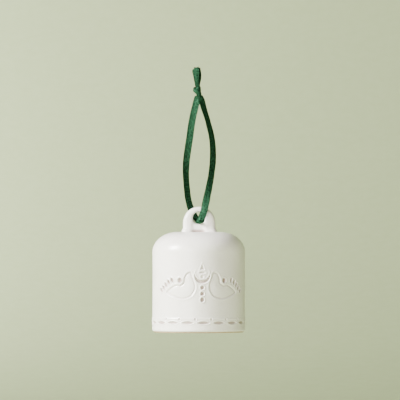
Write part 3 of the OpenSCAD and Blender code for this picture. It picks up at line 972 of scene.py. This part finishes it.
def glaze_finish():
    """Creamy white satin glaze over tan stoneware, brown where it pools and as painted shade in marks and
    joins, and bare at the foot.
    """
    glaze = Finish("glazed_stoneware")
    place = glaze.node("ShaderNodeTexCoord", out=3)
    pool = glaze.node("ShaderNodeAttribute", {"attribute_name": "pool"}, out=2)
    bare = glaze.node("ShaderNodeAttribute", {"attribute_name": "bare"}, out=2)
    clouds = glaze.noise(place, 55.0, 4.0, 0.55)
    mottle = glaze.noise(place, 420.0, 3.0, 0.6)
    specks = glaze.noise(place, 1500.0, 1.0, 0.4)

    cream = glaze.mix(glaze.grey(clouds, 0.35, 0.65), colour(0.81, 0.775, 0.735), colour(0.87, 0.84, 0.805))
    cream = glaze.mix(glaze.grey(mottle, 0.45, 0.8) * 0.25, cream, colour(0.74, 0.69, 0.61))
    cream = glaze.mix(glaze.grey(specks, 0.735, 0.79) * 0.45, cream, colour(0.35, 0.24, 0.15))
    # Brown for glaze pooling and for painted shade in the marks and joins.
    depth = glaze.grey(pool + (mottle - 0.5) * 0.3, 0.28, 0.95)
    glazed = glaze.mix(depth * 0.9, cream, colour(0.30, 0.20, 0.175))
    clay = glaze.mix(glaze.grey(mottle, 0.3, 0.7), colour(0.36, 0.24, 0.15), colour(0.50, 0.36, 0.24))
    shade = glaze.mix(bare, glazed, clay)

    rough = 0.30 + glaze.grey(clouds, 0.3, 0.7) * 0.08 + bare * 0.4
    orange_peel = glaze.bump(mottle + clouds * 2.0, 0.12 * MM, 0.35)
    grit = glaze.bump(specks * bare, 0.15 * MM, 0.6, under=orange_peel)
    return glaze.surface(
        base_color=shade, roughness=rough, normal=grit, coat_weight=(1 - bare) * 0.35, coat_roughness=0.22
    )


glazed_stoneware = glaze_finish()
bell = shell_mesh(glazed_stoneware)
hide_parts("bell_shell")
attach(bell, "bell")

# ---------------------------------------------------------------------------
# The lug
# A rounded arch of clay luted to the crown with slip, with a round hole poked
# through it for the ribbon. Its foot spreads into the crown, and its middle is
# pinched a little thinner than the two legs.
# ---------------------------------------------------------------------------
lug_half_width = 9.9
lug_high = 15.5
lug_middle = 5.4
lug_thick = 8.0
lug_square = 2.1
lug_off = 0.3
hole_radius = 3.6
hole_up = 8.75
lug_buried = 2.6


def lug_reach(angle):
    """Distance from the hole's centre to the lug's outline, along a turn from straight up."""
    low, high = np.zeros(angle.shape), np.full(angle.shape, 30.0)
    for _ in range(40):
        middle = (low + high) / 2
        x = middle * np.sin(angle)
        z = hole_up + middle * np.cos(angle)
        up = (z - lug_middle) / (lug_high - lug_middle)
        arch = np.abs((x - lug_off) / lug_half_width) ** lug_square + np.clip(up, 0, 9) ** lug_square
        inside = (arch <= 1) & (z > -lug_buried)
        low, high = np.where(inside, middle, low), np.where(inside, high, middle)
    return low


def lug_mesh(material):
    angles = np.linspace(0, 2 * math.pi, 200, endpoint=False)
    reach = lug_reach(angles)
    section = np.linspace(0, 2 * math.pi, 64, endpoint=False)
    points, pool = [], []
    for angle, outer in zip(angles, reach):
        long = (outer - hole_radius) / 2
        for turn in section:
            c, s = math.cos(turn), math.sin(turn)
            # The outer edge is rounder than the lip of the hole.
            soft = 0.72 if c > 0 else 0.5
            away = hole_radius + long * (1 + math.copysign(abs(c) ** soft, c))
            y = lug_thick / 2 * math.copysign(abs(s) ** soft, s)
            x = away * math.sin(angle)
            z = hole_up + away * math.cos(angle)
            # The foot spreads, most on the legs; the web between them is pinched in.
            foot = 1 / (1 + math.exp((z - 1.5) / 0.35))
            web = math.exp(-(((x + 0.4) / 4.1) ** 8)) / (1 + math.exp((z - hole_up + 3.2) / 0.5))
            y *= 1 + (0.2 - 0.26 * math.exp(-((x / 3.6) ** 4))) * foot - 0.15 * web
            x *= 1 + 0.1 * foot
            lump = 0.06 * math.sin(3 * angle + 0.8) + 0.04 * math.sin(5 * angle + 2 * turn)
            # Brown at the foot: glaze pooled in the join, and a painted shadow line where the lug meets the
            # crown, most under its middle.
            pool.append(0.35 * web * foot + 0.75 * foot * math.exp(-((x / 5) ** 4)))
            x += lump * math.sin(angle)
            points.append((x * MM, y * MM, crown_z + (z + lump * 0.5) * MM))
    faces = ring_faces(len(angles), len(section))
    piece = new_piece("lug_stoneware", points, faces, material, sharp_over=70)
    map_glaze(piece, pool, [0] * len(points))
    return piece


lug = lug_mesh(glazed_stoneware)
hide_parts("crown_lug")
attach(lug, "bell")

# ---------------------------------------------------------------------------
# The eye under the crown
# Half a ring of rolled clay, luted to the ceiling before firing. The clapper's
# cord loops over it. Slip is smoothed round both feet.
# ---------------------------------------------------------------------------
eye_low, eye_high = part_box("clapper_eye")
ceiling_z = eye_high[2]
bar_radius = (eye_high[1] - eye_low[1]) / 2
eye_radius = (ceiling_z - eye_low[2]) - bar_radius


def eye_mesh(material):
    points, pool = [], []
    bends = np.linspace(0, math.pi, 56)
    ring = 28
    for bend in bends:
        foot = math.exp(-min(bend, math.pi - bend) / 0.16)
        thick = bar_radius * (1 + 0.5 * foot + 0.02 * math.sin(7 * bend))
        for turn in np.linspace(0, 2 * math.pi, ring, endpoint=False):
            out = eye_radius + thick * math.cos(turn)
            down = out * math.sin(bend) - 0.05 * MM * foot
            points.append((out * math.cos(bend), thick * math.sin(turn), ceiling_z - down))
            pool.append(0.4 * foot)
    faces = swept_faces(len(bends), ring)
    piece = new_piece("clapper_eye_stoneware", points, faces, material, sharp_over=70)
    map_glaze(piece, pool, [0] * len(points))
    return piece


eye = eye_mesh(glazed_stoneware)
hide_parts("clapper_eye")
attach(eye, "bell")

# ---------------------------------------------------------------------------
# The studio
# A wide pale sweep, well below the hanging bell, one soft light from the upper
# left, a broad weaker one in front, a faint fill at the right, and lights that
# face the sweep and not the ornament.
# ---------------------------------------------------------------------------
floor_z = rim_z - 0.16
floor_radius = 3.2
sweep_bend = 1.6
sweep_radius = floor_radius + sweep_bend


def sweep_mesh():
    paper = Finish("sweep_paper")
    place = paper.node("ShaderNodeTexCoord", out=3)
    tooth = paper.noise(place, 90.0, 3.0)
    shade = paper.mix(paper.grey(tooth, 0.3, 0.7), colour(0.455, 0.53, 0.30), colour(0.475, 0.55, 0.32))
    profile = [(r, floor_z) for r in (0.5, 1.2, 2.2, floor_radius)]
    for a in np.radians(range(9, 91, 9)):
        profile.append((floor_radius + sweep_bend * math.sin(a), floor_z + sweep_bend * (1 - math.cos(a))))
    profile += [(sweep_radius, floor_z + sweep_bend + up) for up in (0.8, 1.8, 3.0)]
    steps = 72
    turns = np.linspace(0, 2 * math.pi, steps, endpoint=False)
    points = [(0, 0, floor_z)]
    for r, z in profile:
        points += [(r * math.cos(a), r * math.sin(a), z) for a in turns]
    faces = [(0, 1 + k, 1 + (k + 1) % steps) for k in range(steps)]
    for i in range(len(profile) - 1):
        for k in range(steps):
            m = (k + 1) % steps
            base = 1 + i * steps
            faces.append((base + k, base + steps + k, base + steps + m, base + m))
    return new_piece("sweep", points, faces, paper.surface(base_color=shade, roughness=0.9))


sweep_mesh()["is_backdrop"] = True

world = bpy.data.worlds.new("surround")
world.use_nodes = True
surround = world.node_tree.nodes["Background"]
surround.inputs["Color"].default_value = (1.0, 0.9, 0.97, 1.0)
surround.inputs["Strength"].default_value = 0.16
bpy.context.scene.world = world


def soft_light(name, place, target, size, watts, tint):
    lamp = bpy.data.lights.new(name, "AREA")
    lamp.shape = "DISK"
    lamp.size = size
    lamp.energy = watts
    lamp.color = tint
    light = bpy.data.objects.new(name, lamp)
    light.location = place
    light.rotation_euler = (Vector(target) - Vector(place)).to_track_quat("-Z", "Y").to_euler()
    light.visible_camera = False
    bpy.context.collection.objects.link(light)


bell_middle = (0, 0, -0.08)
soft_light("key", (-1.98, -0.75, 0.95), bell_middle, 0.9, 300.0, (1.0, 0.985, 0.96))
soft_light("front", (-1.0, -2.2, 0.35), bell_middle, 1.4, 66.0, (1.0, 0.95, 0.96))
soft_light("fill", (1.2, -2.0, 0.1), bell_middle, 1.2, 6.0, (1.0, 0.6, 0.8))
sweep_tint = (1.0, 0.985, 0.95)
soft_light("sweep_light_back", (-1.0, 3.5, 0.4), (-0.5, 4.75, 0.05), 0.5, 38.0, sweep_tint)
# Four more stand round the ornament, with their backs to it, and wash the sweep where the key misses it.
for turn, watts in ((135, 20.0), (180, 24.0), (225, 20.0), (270, 24.0)):
    out_x, out_y = math.cos(math.radians(turn)), math.sin(math.radians(turn))
    place, target = (3.4 * out_x, 3.4 * out_y, 0.4), (4.75 * out_x, 4.75 * out_y, 0.05)
    soft_light("sweep_light_%d" % turn, place, target, 0.7, watts, sweep_tint)

low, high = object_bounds()
